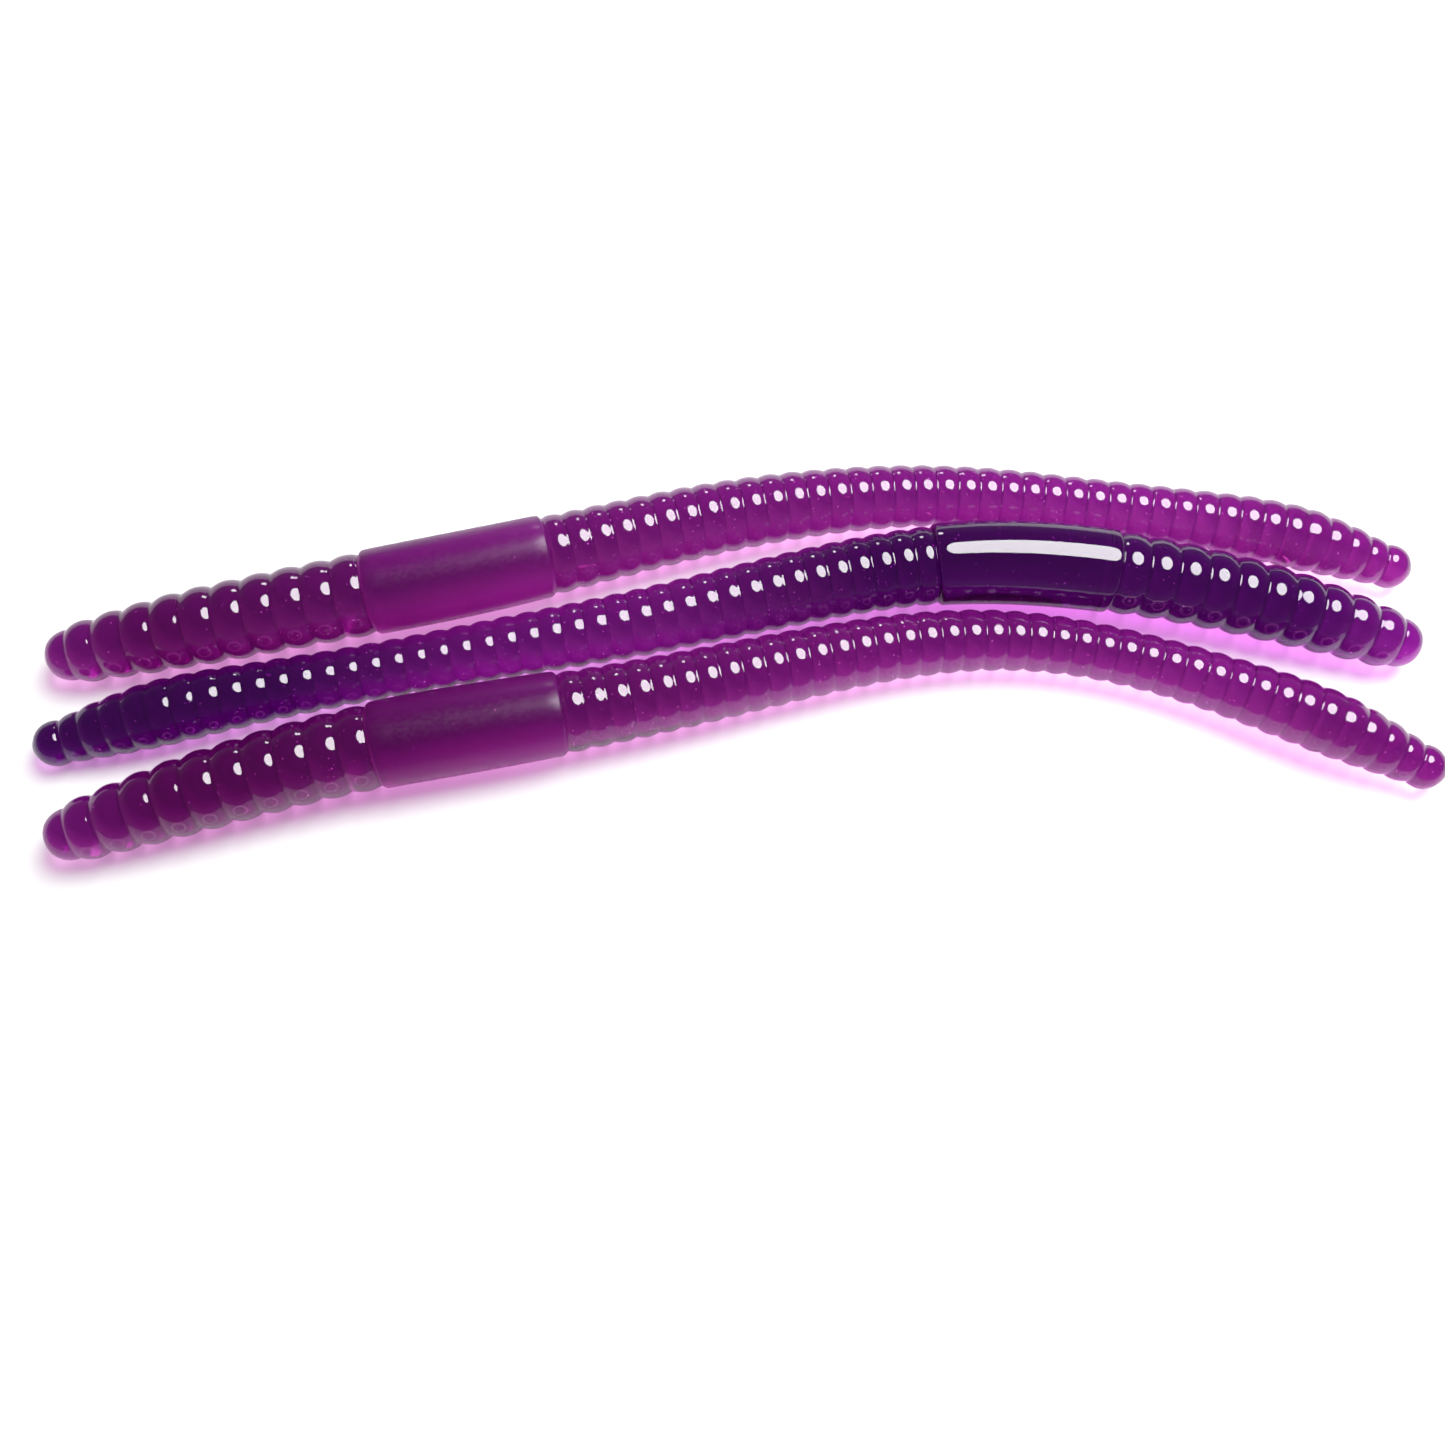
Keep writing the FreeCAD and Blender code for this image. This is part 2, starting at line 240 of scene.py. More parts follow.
class SoftWormStage(bpy.types.PropertyGroup):
    """The surface, the light and the camera."""

    lamp_toward: FloatVectorProperty(
        name="Lamp direction", description="From the worms to the soft lamp",
        default=(0.35, 0.30, 0.89), size=3, subtype="DIRECTION")
    lamp_away: length("Lamp distance", "From the worms to the soft lamp", 400.0)
    lamp_size: length("Lamp size", "Diameter of the soft lamp", 260.0)
    lamp_power: FloatProperty(name="Lamp power", description="Power of the soft lamp",
                              default=3.0, min=0.0, subtype="POWER", unit="POWER")
    window_toward: FloatVectorProperty(
        name="Window direction", description="From the worms to the low window beyond them",
        default=(0.0, 0.94, 0.33), size=3, subtype="DIRECTION")
    window_size: length("Window size", "Diameter of the low window", 60.0)
    window_power: FloatProperty(name="Window power", description="Power of the low window",
                                default=0.12, min=0.0, subtype="POWER", unit="POWER")
    world_low: FloatProperty(name="Horizon", description="Brightness near the horizon",
                             default=0.25, min=0.0)
    world_high: FloatProperty(name="Zenith", description="Brightness overhead",
                              default=0.10, min=0.0)
    camera_at: FloatVectorProperty(
        name="Camera", description="Where the camera stands",
        default=(-0.0090, -0.0483, 0.1290), size=3, subtype="TRANSLATION", unit="LENGTH")
    camera_aim: FloatVectorProperty(
        name="Aim", description="Where the camera looks on the surface",
        default=(-0.00235, -0.00593, 0.0), size=3, subtype="TRANSLATION", unit="LENGTH")
    camera_roll: FloatProperty(name="Roll", description="How far the camera leans",
                               default=math.radians(4.7), subtype="ANGLE", unit="ROTATION")
    camera_lens: FloatProperty(name="Lens", description="Focal length on a 36 mm sensor",
                               default=37.4, unit="CAMERA", min=10.0)


# ---------------------------------------------------------------------------------------
# The worm's outline: arcs between points of distance from the nose and radius
# ---------------------------------------------------------------------------------------

def groove_station(sizes, zone, rib):
    """Distance of a groove from the nose tip along the worm."""
    if zone == "head":
        return sizes.nose_cap + rib * sizes.head_pitch
    return groove_station(sizes, "head", HEAD_RIBS) + sizes.band_long + rib * sizes.tail_pitch


def groove_radius(sizes, zone, rib):
    """Radius in a groove: the crest radii joined by straight lines, less the groove's depth."""
    marks = CREST_RADII[zone]
    crest = np.interp(rib, list(marks), list(marks.values())) * MM
    return crest - groove_depth(sizes, zone, rib)


def groove_depth(sizes, zone, rib):
    """Depth of a groove: even in the tail, and deeper towards the nose in the head."""
    if zone == "tail":
        return sizes.tail_groove
    return sizes.head_groove * (1 + 0.4 * (1 - rib / HEAD_RIBS))


def bulge_radius(chord, height):
    """Radius of the arc that stands up by height over a chord."""
    return (chord ** 2 / 4 + height ** 2) / (2 * height)


def arc_points(start, end, radius, count):
    """Points along the arc that bulges outwards from start to end, evenly spaced by angle.

    The centre lies below the chord's middle, at the square root of radius squared less half
    the chord squared.
    """
    start, end = np.array(start), np.array(end)
    chord = end - start
    half = np.hypot(*chord) / 2
    inward = np.array([chord[1], -chord[0]]) / (2 * half)
    centre = (start + end) / 2 + inward * math.sqrt(max(radius ** 2 - half ** 2, 0.0))
    first = np.arctan2(*(start - centre)[::-1])
    last = np.arctan2(*(end - centre)[::-1])
    turn = np.linspace(first, last, count + 1)
    return centre + radius * np.stack([np.cos(turn), np.sin(turn)], axis=1)


def rib_points(sizes, start, end, depth):
    """Points over one rib, from groove to groove.

    Across the rib, u runs from -1 to 1. The height is the rib's depth times 1 less u squared,
    and the last share of u eases into the groove: there the slope falls evenly to nothing.
    """
    half = 1 - (1 - np.linspace(0, 1, sizes.along + 1)) ** 2.2
    across = np.concatenate([-half[::-1], half[1:]])
    away = np.abs(across)
    eased = 1 - sizes.fillet
    over = np.maximum(away - eased, 0.0)
    fall = np.minimum(away, eased) ** 2 + 2 * eased * (over - over ** 2 / (2 * sizes.fillet))
    whole = eased ** 2 + eased * sizes.fillet
    share = (across + 1) / 2
    stations = start[0] + (end[0] - start[0]) * share
    radii = start[1] + (end[1] - start[1]) * share + depth * (1 - fall / whole)
    return np.stack([stations, radii], axis=1)


def rib_arcs(sizes, zone, first, last):
    """One rounded rib from each groove to the next."""
    marks = [(groove_station(sizes, zone, rib), groove_radius(sizes, zone, rib))
             for rib in range(first, last + 1)]
    return [rib_points(sizes, marks[i], marks[i + 1], groove_depth(sizes, zone, first + i + 0.5))
            for i in range(last - first)]


def nose_arcs(sizes):
    """The blunt front face and the rounded corner behind it."""
    corner = (sizes.nose_bulge, sizes.nose_face)
    first_groove = (sizes.nose_cap, groove_radius(sizes, "head", 0))
    face = bulge_radius(2 * sizes.nose_face, sizes.nose_bulge)
    return [arc_points((0.0, 0.0), corner, face, sizes.along),
            arc_points(corner, first_groove, sizes.nose_corner, 2 * sizes.along)]


def band_arcs(sizes):
    """The smooth band: two short rounded edges and a slightly swollen body between them."""
    front = groove_station(sizes, "head", HEAD_RIBS)
    back = groove_station(sizes, "tail", 0)
    body = arc_points((front + sizes.skin_edge, sizes.band_front), (back - sizes.skin_edge, sizes.band_back),
                      bulge_radius(sizes.band_long - 2 * sizes.skin_edge, sizes.band_bulge), 5 * sizes.along)
    rise = rib_points(sizes, (front, 0.0), (front + 2 * sizes.skin_edge, 0.0), 1.0)[:sizes.along + 1]
    fall = rib_points(sizes, (back - 2 * sizes.skin_edge, 0.0), (back, 0.0), 1.0)[sizes.along:]
    for edge, low, high in ((rise, groove_radius(sizes, "head", HEAD_RIBS), sizes.band_front),
                            (fall, groove_radius(sizes, "tail", 0), sizes.band_back)):
        edge[:, 1] = low + (high - low) * edge[:, 1]
    return [rise, body, fall]


def tip_arcs(sizes):
    """The rounded corner behind the last groove and the small end face."""
    end = groove_station(sizes, "tail", TAIL_RIBS) + sizes.tip_cap
    last_groove = (groove_station(sizes, "tail", TAIL_RIBS), groove_radius(sizes, "tail", TAIL_RIBS))
    corner = (end - sizes.tip_bulge, sizes.tip_face)
    face = bulge_radius(2 * sizes.tip_face, sizes.tip_bulge)
    return [arc_points(last_groove, corner, sizes.tip_corner, 2 * sizes.along),
            arc_points(corner, (end, 0.0), face, sizes.along)]


def skin_outline(sizes, index):
    """Outline points of one stretch of skin, from nose to tail."""
    end = SKIN_ENDS[index]
    start = SKIN_ENDS[index - 1] if index else ("head", 0)
    if STRETCHES[index] == "band":
        arcs = band_arcs(sizes)
    else:
        arcs = rib_arcs(sizes, end[0], start[1], min(end[1], TAIL_RIBS))
    if index == 0:
        arcs = nose_arcs(sizes) + arcs
    if index == len(STRETCHES) - 1:
        arcs = arcs + tip_arcs(sizes)
    return np.concatenate([arcs[0][:1]] + [arc[1:] for arc in arcs])


# ---------------------------------------------------------------------------------------
# The worm's axis, through the frame's hinge points
# ---------------------------------------------------------------------------------------

def worm_marks(worm):
    """The nose tip, the eight hinge points and the tail tip of one worm, from the frame."""
    record = frame["record"]
    nose_mount = worm.replace("_worm", "_nose_hook_entry")
    nose = next(m["pos_m"] for m in record["mounts"] if m["name"] == nose_mount)
    marks = [nose]
    for before, after in zip(STRETCHES, STRETCHES[1:]):
        pair = {f"{worm}_{before}", f"{worm}_{after}"}
        marks.append(next(j["pos_m"] for j in frame["joints"] if {j["parent"], j["child"]} == pair))
    tip_mesh = frame["nodes"][f"{worm}_tail_tip"].data
    places = np.empty(len(tip_mesh.vertices) * 3)
    tip_mesh.vertices.foreach_get("co", places)
    places = places.reshape(-1, 3)
    farthest = np.argmax(np.linalg.norm(places - np.array(marks[-1]), axis=1))
    return np.array(marks + [list(places[farthest])], dtype=float)


def natural_spline(knots, marks, at):
    """Cubic spline through marks, straight at both ends.

    The second derivatives solve the usual three-term equations with zero at the ends, and
    each span is the cubic that they and its two marks fix.
    """
    step = np.diff(knots)
    count = len(knots)
    matrix = np.eye(count)
    right = np.zeros_like(marks)
    for i in range(1, count - 1):
        matrix[i, i - 1:i + 2] = step[i - 1], 2 * (step[i - 1] + step[i]), step[i]
        right[i] = 6 * ((marks[i + 1] - marks[i]) / step[i] - (marks[i] - marks[i - 1]) / step[i - 1])
    bend = np.linalg.solve(matrix, right)
    span = np.clip(np.searchsorted(knots, at, side="right") - 1, 0, count - 2)
    wide = step[span][:, None]
    after = (at - knots[span])[:, None]
    before = wide - after
    return (bend[span] * before ** 3 / (6 * wide) + bend[span + 1] * after ** 3 / (6 * wide)
            + (marks[span] / wide - bend[span] * wide / 6) * before
            + (marks[span + 1] / wide - bend[span + 1] * wide / 6) * after)


def crest_profile(sizes):
    """Stations and radii of a smooth sheath over the ribs, the band and the two rounded ends."""
    head = [(groove_station(sizes, "head", rib), radius * MM)
            for rib, radius in CREST_RADII["head"].items()]
    tail = [(groove_station(sizes, "tail", rib), radius * MM)
            for rib, radius in CREST_RADII["tail"].items()]
    band = [(groove_station(sizes, "head", HEAD_RIBS) + sizes.band_edge, sizes.band_front),
            (groove_station(sizes, "tail", 0) - sizes.band_edge, sizes.band_back)]
    return np.array([(0.0, head[0][1])] + head + band + tail + [(tail[-1][0] + sizes.tip_cap, tail[-1][1])])


class Axis:
    """A worm's curved axis, with a sideways and an upward direction at every station."""

    def __init__(self, worm, sizes):
        self.worm = worm
        self.marks = worm_marks(worm)
        steps = np.linalg.norm(np.diff(self.marks, axis=0), axis=1)
        self.knots = np.concatenate([[0.0], np.cumsum(steps)])
        self.crests = crest_profile(sizes)
        self.sink = sizes.rest_sink

    def points(self, stations):
        """The spline through the frame's points, at the height where the crests just rest."""
        points = natural_spline(self.knots, self.marks, stations)
        points[:, 2] = np.interp(stations, *self.crests.T) - self.sink
        return points

    def at(self, stations):
        """Points of the axis, and the sideways and upward unit vectors there."""
        reach = 0.5 * MM
        points = self.points(stations)
        along = self.points(stations + reach) - self.points(stations - reach)
        along /= np.linalg.norm(along, axis=1, keepdims=True)
        side = np.cross([0.0, 0.0, 1.0], along)
        side /= np.linalg.norm(side, axis=1, keepdims=True)
        return points, side, np.cross(along, side)


# ---------------------------------------------------------------------------------------
# Meshes
# ---------------------------------------------------------------------------------------

def tube_mesh(name, rings, closed_start, closed_end):
    """A closed tube through rings of points, ended by a pole or by a flat fan at each end.

    closed_start and closed_end are the middle points of the two ends.
    """
    rows, around = rings.shape[:2]
    vertices = np.concatenate([rings.reshape(-1, 3), [closed_start], [closed_end]])
    row = np.arange(rows - 1)[:, None] * around
    here = np.arange(around)[None, :]
    ahead = (here + 1) % around
    sides = np.stack([row + here, row + around + here, row + around + ahead, row + ahead], axis=-1)
    ring, following = here[0], ahead[0]
    start_fan = np.stack([ring, following, np.full(around, rows * around)], axis=-1)
    last = (rows - 1) * around
    end_fan = np.stack([last + following, last + ring, np.full(around, rows * around + 1)], axis=-1)
    mesh = bpy.data.meshes.new(name)
    mesh.from_pydata(vertices.tolist(), [], sides.reshape(-1, 4).tolist()
                     + start_fan.tolist() + end_fan.tolist())
    mesh.polygons.foreach_set("use_smooth", np.ones(len(mesh.polygons), dtype=bool))
    mesh.update()
    return mesh, (rows - 1) * around, around


def add_piece(name, mesh, material):
    piece = bpy.data.objects.new(name, mesh)
    bpy.context.scene.collection.objects.link(piece)
    mesh.materials.append(material)
    return piece


def skin_mesh(sizes, axis, index, name):
    """One stretch of a worm's skin: its outline turned about the curved axis.

    A point is the axis point, plus the outline's radius times the cosine of the turn upwards
    and the sine of it sideways. What would pass through the surface lies flat on it. The
    attribute seam is 1 on the flat ends where two stretches meet, and 0 elsewhere. The
    attribute moulded holds each point's place in the straight moulding.
    """
    outline = skin_outline(sizes, index)
    stations, radii = outline[:, 0].copy(), outline[:, 1]
    first, last = index == 0, index == len(STRETCHES) - 1
    if not first:
        stations[0] += sizes.seam_gap
    if not last:
        stations[-1] -= sizes.seam_gap
    ends = slice(1 if first else 0, -1 if last else None)
    points, side, up = axis.at(stations)
    turn = np.arange(sizes.around) * 2 * np.pi / sizes.around
    rings = (points[:, None, :]
             + radii[:, None, None] * (np.cos(turn)[None, :, None] * up[:, None, :]
                                       + np.sin(turn)[None, :, None] * side[:, None, :]))[ends]
    rings[..., 2] = np.maximum(rings[..., 2], sizes.floor_gap)
    mesh, skin_faces, fan_faces = tube_mesh(name, rings, points[0], points[-1])
    seam = np.zeros(len(mesh.polygons), dtype=np.float32)
    if not first:
        seam[skin_faces:skin_faces + fan_faces] = 1.0
    if not last:
        seam[skin_faces + fan_faces:] = 1.0
    mesh.attributes.new("seam", "FLOAT", "FACE").data.foreach_set("value", seam)
    sharpen_rims(mesh, seam > 0)
    straight = np.zeros((*rings.shape[:2], 3), dtype=np.float32)
    straight[..., 0] = stations[ends, None]
    straight[..., 1] = radii[ends, None] * np.sin(turn)
    straight[..., 2] = radii[ends, None] * np.cos(turn)
    middles = [(stations[0], 0.0, 0.0), (stations[-1], 0.0, 0.0)]
    moulded = np.concatenate([straight.reshape(-1, 3), middles]).astype(np.float32)
    mesh.attributes.new("moulded", "FLOAT_VECTOR", "POINT").data.foreach_set("vector", moulded.ravel())
    # Where each point lies about the painted light ring of its rib.
    marks = painted_light_ring_places(sizes, stations[ends], radii[ends], turn)
    marks = np.concatenate([marks.reshape(-1, 3), np.full((2, 3), FAR_FROM_RING)]).astype(np.float32)
    mesh.attributes.new("ring", "FLOAT_VECTOR", "POINT").data.foreach_set("vector", marks.ravel())
    for attribute_name, along in (("groove", groove_nearness(sizes, stations)),
                                  ("thin", pale_nose_and_tail(axis.worm, stations))):
        values = np.concatenate([np.repeat(along[ends], sizes.around), [along[0], along[-1]]])
        mesh.attributes.new(attribute_name, "FLOAT", "POINT").data.foreach_set(
            "value", values.astype(np.float32))
    return mesh


def groove_nearness(sizes, stations):
    """1 at the bottom of a groove, falling to 0 at the middle of a rib or of a smooth stretch."""
    grooves = np.array([groove_station(sizes, "head", rib) for rib in range(HEAD_RIBS + 1)]
                       + [groove_station(sizes, "tail", rib) for rib in range(TAIL_RIBS + 1)])
    away = np.abs(stations[:, None] - grooves[None, :]).min(axis=1)
    return np.clip(1 - away / (sizes.tail_pitch / 2), 0.0, 1.0)


def pale_nose_and_tail(worm, stations):
    """1 where the colour is paler, at the nose as painted light through the thinner nose, and about one
    place of the tail, falling to 0.
    """
    plastic = bpy.context.scene.soft_worm_plastic
    which = WORMS.index(worm)
    middle, reach = plastic.thin_middles[which], plastic.thin_reaches[which]
    tail = np.clip((reach - np.abs(stations - middle)) / (0.7 * reach), 0.0, 1.0)
    nose = 1 - stations / plastic.nose_reach
    return np.clip(np.maximum(plastic.thin_shares[which] * tail, nose), 0.0, 1.0)


def painted_light_ring_places(sizes, stations, radii, turn):
    """Where each point lies about its rib's painted light ring, which has a length of 1 there.

    Along the worm it is the distance from the rib's middle, and round it the arc from the turn where the
    painted light rings lie, each over half the ring's width. The band is left far from any.
    """
    plastic = bpy.context.scene.soft_worm_plastic
    places = np.full((len(stations), len(turn), 3), FAR_FROM_RING)
    about = np.abs((turn + np.pi) % (2 * np.pi) - np.pi) - plastic.painted_ring_turn
    for zone, ribs, pitch, half in (("head", HEAD_RIBS, sizes.head_pitch, plastic.painted_ring_size[0]),
                                    ("tail", TAIL_RIBS, sizes.tail_pitch, plastic.painted_ring_size[1])):
        past = (stations - groove_station(sizes, zone, 0)) / pitch
        inside = (past >= 0) & (past <= ribs)
        from_middle = np.abs(past - np.floor(past) - 0.5) * pitch
        places[inside, :, 0] = from_middle[inside, None] / half
        places[inside, :, 1] = about[None, :] * radii[inside, None] / half
        places[inside, :, 2] = 0.0
    return places


def ball_shape():
    """Points of a ball of radius 1 with a pole at each end, its four-sided and its end faces."""
    fall = np.linspace(0, np.pi, BALL_RINGS + 2)[1:-1, None]
    turn = np.arange(BALL_AROUND) * 2 * np.pi / BALL_AROUND
    ring = np.stack([np.sin(fall) * np.cos(turn), np.sin(fall) * np.sin(turn),
                     np.cos(fall) * np.ones(BALL_AROUND)], axis=-1).reshape(-1, 3)
    here = np.arange(BALL_AROUND)
    ahead = (here + 1) % BALL_AROUND
    sides = np.concatenate([
        np.stack([here, here + BALL_AROUND, ahead + BALL_AROUND, ahead], axis=1) + row * BALL_AROUND
        for row in range(BALL_RINGS - 1)])
    last = (BALL_RINGS - 1) * BALL_AROUND
    top = np.stack([here, ahead, np.full(BALL_AROUND, len(ring))], axis=1)
    bottom = np.stack([last + ahead, last + here, np.full(BALL_AROUND, len(ring) + 1)], axis=1)
    return np.concatenate([ring, [(0, 0, 1), (0, 0, -1)]]), sides, np.concatenate([top, bottom])


def bubble_mesh(sizes, axis, index, name):
    """Tiny closed balls just under one stretch of skin, at random places and of random sizes.

    Each ball is two poles and three rings of six points: its radius times the sine of the fall
    from the pole outwards, and times the cosine of it along.
    """
    plastic = bpy.context.scene.soft_worm_plastic
    chance = np.random.default_rng(100 * WORMS.index(axis.worm) + index)
    count = plastic.bubbles
    outline = skin_outline(sizes, index)
    stations = chance.uniform(outline[0, 0] + BUBBLE_MARGIN, outline[-1, 0] - BUBBLE_MARGIN, count)
    size = plastic.bubble_size * np.exp(chance.normal(0.0, BUBBLE_SPREAD, count))
    depth = 2 * size + chance.exponential(BUBBLE_DEPTH, count)
    away = np.interp(stations, *outline.T) - depth
    turn = chance.uniform(0.0, 2 * np.pi, count)
    points, side, up = axis.at(stations)
    centres = points + away[:, None] * (np.cos(turn)[:, None] * up + np.sin(turn)[:, None] * side)
    centres[:, 2] = np.maximum(centres[:, 2], sizes.floor_gap + 2 * size)
    ball, sides, ends = ball_shape()
    vertices = (centres[:, None, :] + size[:, None, None] * ball[None, :, :]).reshape(-1, 3)
    first = np.arange(count)[:, None, None] * len(ball)
    faces = (sides[None] + first).reshape(-1, 4).tolist() + (ends[None] + first).reshape(-1, 3).tolist()
    mesh = bpy.data.meshes.new(name)
    mesh.from_pydata(vertices.tolist(), [], faces)
    mesh.polygons.foreach_set("use_smooth", np.ones(len(mesh.polygons), dtype=bool))
    mesh.update()
    return mesh


def sharpen_rims(mesh, is_cap):
    """Marks the edges between the skin and a flat end as sharp, so that neither shades the other."""
    loops = np.empty(len(mesh.loops), dtype=np.int32)
    mesh.loops.foreach_get("edge_index", loops)
    totals = np.empty(len(mesh.polygons), dtype=np.int32)
    mesh.polygons.foreach_get("loop_total", totals)
    capped = np.repeat(is_cap, totals)
    touches_cap = np.bincount(loops[capped], minlength=len(mesh.edges)) > 0
    touches_skin = np.bincount(loops[~capped], minlength=len(mesh.edges)) > 0
    sharp = touches_cap & touches_skin
    attribute = mesh.attributes.get("sharp_edge") or mesh.attributes.new("sharp_edge", "BOOLEAN", "EDGE")
    attribute.data.foreach_set("value", sharp)


# ---------------------------------------------------------------------------------------
# Materials
# ---------------------------------------------------------------------------------------

def new_material(name):
    material = bpy.data.materials.new(name)
    material.use_nodes = True
    nodes = material.node_tree.nodes
    nodes.clear()
    return material, nodes, material.node_tree.links, nodes.new("ShaderNodeOutputMaterial")


def moulded_noise(nodes, links, stretch, scale, detail):
    """Noise that follows the moulding, stretched along and round it by the three factors."""
    shape = nodes.new("ShaderNodeMapping")
    shape.inputs["Scale"].default_value = stretch
    noise = nodes.new("ShaderNodeTexNoise")
    noise.inputs["Scale"].default_value = scale
    noise.inputs["Detail"].default_value = detail
    links.new(attribute(nodes, "moulded", "Vector"), shape.inputs["Vector"])
    links.new(shape.outputs["Vector"], noise.inputs["Vector"])
    return noise.outputs["Fac"]


def ranged(nodes, links, value, low, high, to_low, to_high):
    """A value carried from one range to another, and held at its ends."""
    ramp = nodes.new("ShaderNodeMapRange")
    for name, number in (("From Min", low), ("From Max", high), ("To Min", to_low), ("To Max", to_high)):
        ramp.inputs[name].default_value = number
    links.new(value, ramp.inputs["Value"])
    return ramp.outputs["Result"]


def attribute(nodes, name, output):
    """A value or vector that the skin's mesh carries."""
    place = nodes.new("ShaderNodeAttribute")
    place.attribute_name = name
    return place.outputs[output]


def worked(nodes, links, kind, value, number=0.0):
    """One step of arithmetic on a value."""
    step = nodes.new("ShaderNodeMath")
    step.operation = kind
    step.inputs[1].default_value = number
    links.new(value, step.inputs[0])
    return step.outputs[0]


def mixed(nodes, links, blend, factor, first, second):
    """Two colours mixed; each may be a colour or a socket."""
    mix = nodes.new("ShaderNodeMix")
    mix.data_type = "RGBA"
    mix.blend_type = blend
    links.new(factor, mix.inputs["Factor"])
    for name, colour in (("A", first), ("B", second)):
        if isinstance(colour, tuple):
            mix.inputs[name].default_value = colour
        else:
            links.new(colour, mix.inputs[name])
    return mix.outputs["Result"]


def dye_and_painted_light_group():
    """Shared by every plastic: the dye's colour with painted light and shade, the fine speckle and the
    moulding marks.

    The colour goes paler towards the nose, as painted light through the thinner nose, and about one place of
    the tail, and is swirled at random. Painted shade darkens it on the side towards the lamp and leaves it
    pale away from it, as painted light that the round body gathers there. Painted shade darkens the grooves,
    and each rib has a painted light ring low on its side, for light refracted through the rib.
    """
    name = "dyed_and_painted_light"
    if name in bpy.data.node_groups:
        return bpy.data.node_groups[name]
    group = bpy.data.node_groups.new(name, "ShaderNodeTree")
    for socket, kind, way in (("Dye", "NodeSocketColor", "INPUT"), ("Pale Colour", "NodeSocketColor", "INPUT"),
                              ("Color", "NodeSocketColor", "OUTPUT"),
                              ("Speckle", "NodeSocketFloat", "OUTPUT"),
                              ("Height", "NodeSocketFloat", "OUTPUT")):
        group.interface.new_socket(name=socket, in_out=way, socket_type=kind)
    nodes, links = group.nodes, group.links
    given, result = nodes.new("NodeGroupInput"), nodes.new("NodeGroupOutput")
    # The colour goes paler towards the nose, as painted light through the thinner nose, and about one place
    # of the tail.
    paling = attribute(nodes, "thin", "Fac")
    colour = mixed(nodes, links, "MIX", paling, given.outputs["Dye"], given.outputs["Pale Colour"])
    swirl = moulded_noise(nodes, links, (0.4, 1.0, 1.0), 260.0, 2.0)
    colour = mixed(nodes, links, "MULTIPLY", swirl, colour, SWIRL_SHADE)
    # Painted shade: the colour darkens where the skin faces the lamp, leaving the side away from it pale as
    # painted light gathered by the round body.
    facing = nodes.new("ShaderNodeNewGeometry")
    toward = nodes.new("ShaderNodeVectorMath")
    toward.operation = "DOT_PRODUCT"
    toward.inputs[1].default_value = bpy.context.scene.soft_worm_stage.lamp_toward.normalized()
    links.new(facing.outputs["Normal"], toward.inputs[0])
    painted_lamp_shade = ranged(nodes, links, toward.outputs["Value"], *PAINTED_SHADE_SLANT, 0.0, 1.0)
    colour = mixed(nodes, links, "MULTIPLY", painted_lamp_shade, colour, PAINTED_LAMP_SIDE_SHADE)
    # Painted shade: the colour darkens towards the bottom of each groove.
    line = ranged(nodes, links, attribute(nodes, "groove", "Fac"), 0.80, 1.0, 0.0, 0.35)
    colour = mixed(nodes, links, "MULTIPLY", line, colour, PAINTED_GROOVE_SHADE)
    # Painted light: a pale ring low on each rib's side, for light refracted through the rib.
    ring = nodes.new("ShaderNodeVectorMath")
    ring.operation = "LENGTH"
    links.new(attribute(nodes, "ring", "Vector"), ring.inputs[0])
    past_ring = worked(nodes, links, "SUBTRACT", ring.outputs["Value"], 1.0)
    off_ring = worked(nodes, links, "ABSOLUTE", past_ring)
    mark = ranged(nodes, links, off_ring, *PAINTED_LIGHT_RING_EDGE, PAINTED_LIGHT_RING_STRENGTH, 0.0)
    colour = mixed(nodes, links, "MIX", mark, colour, PAINTED_LIGHT_RING_COLOUR)
    links.new(colour, result.inputs["Color"])
    links.new(moulded_noise(nodes, links, (1.0, 1.0, 1.0), 3000.0, 1.0), result.inputs["Speckle"])
    links.new(moulded_noise(nodes, links, (0.08, 1.0, 1.0), 3500.0, 2.0), result.inputs["Height"])
    return group


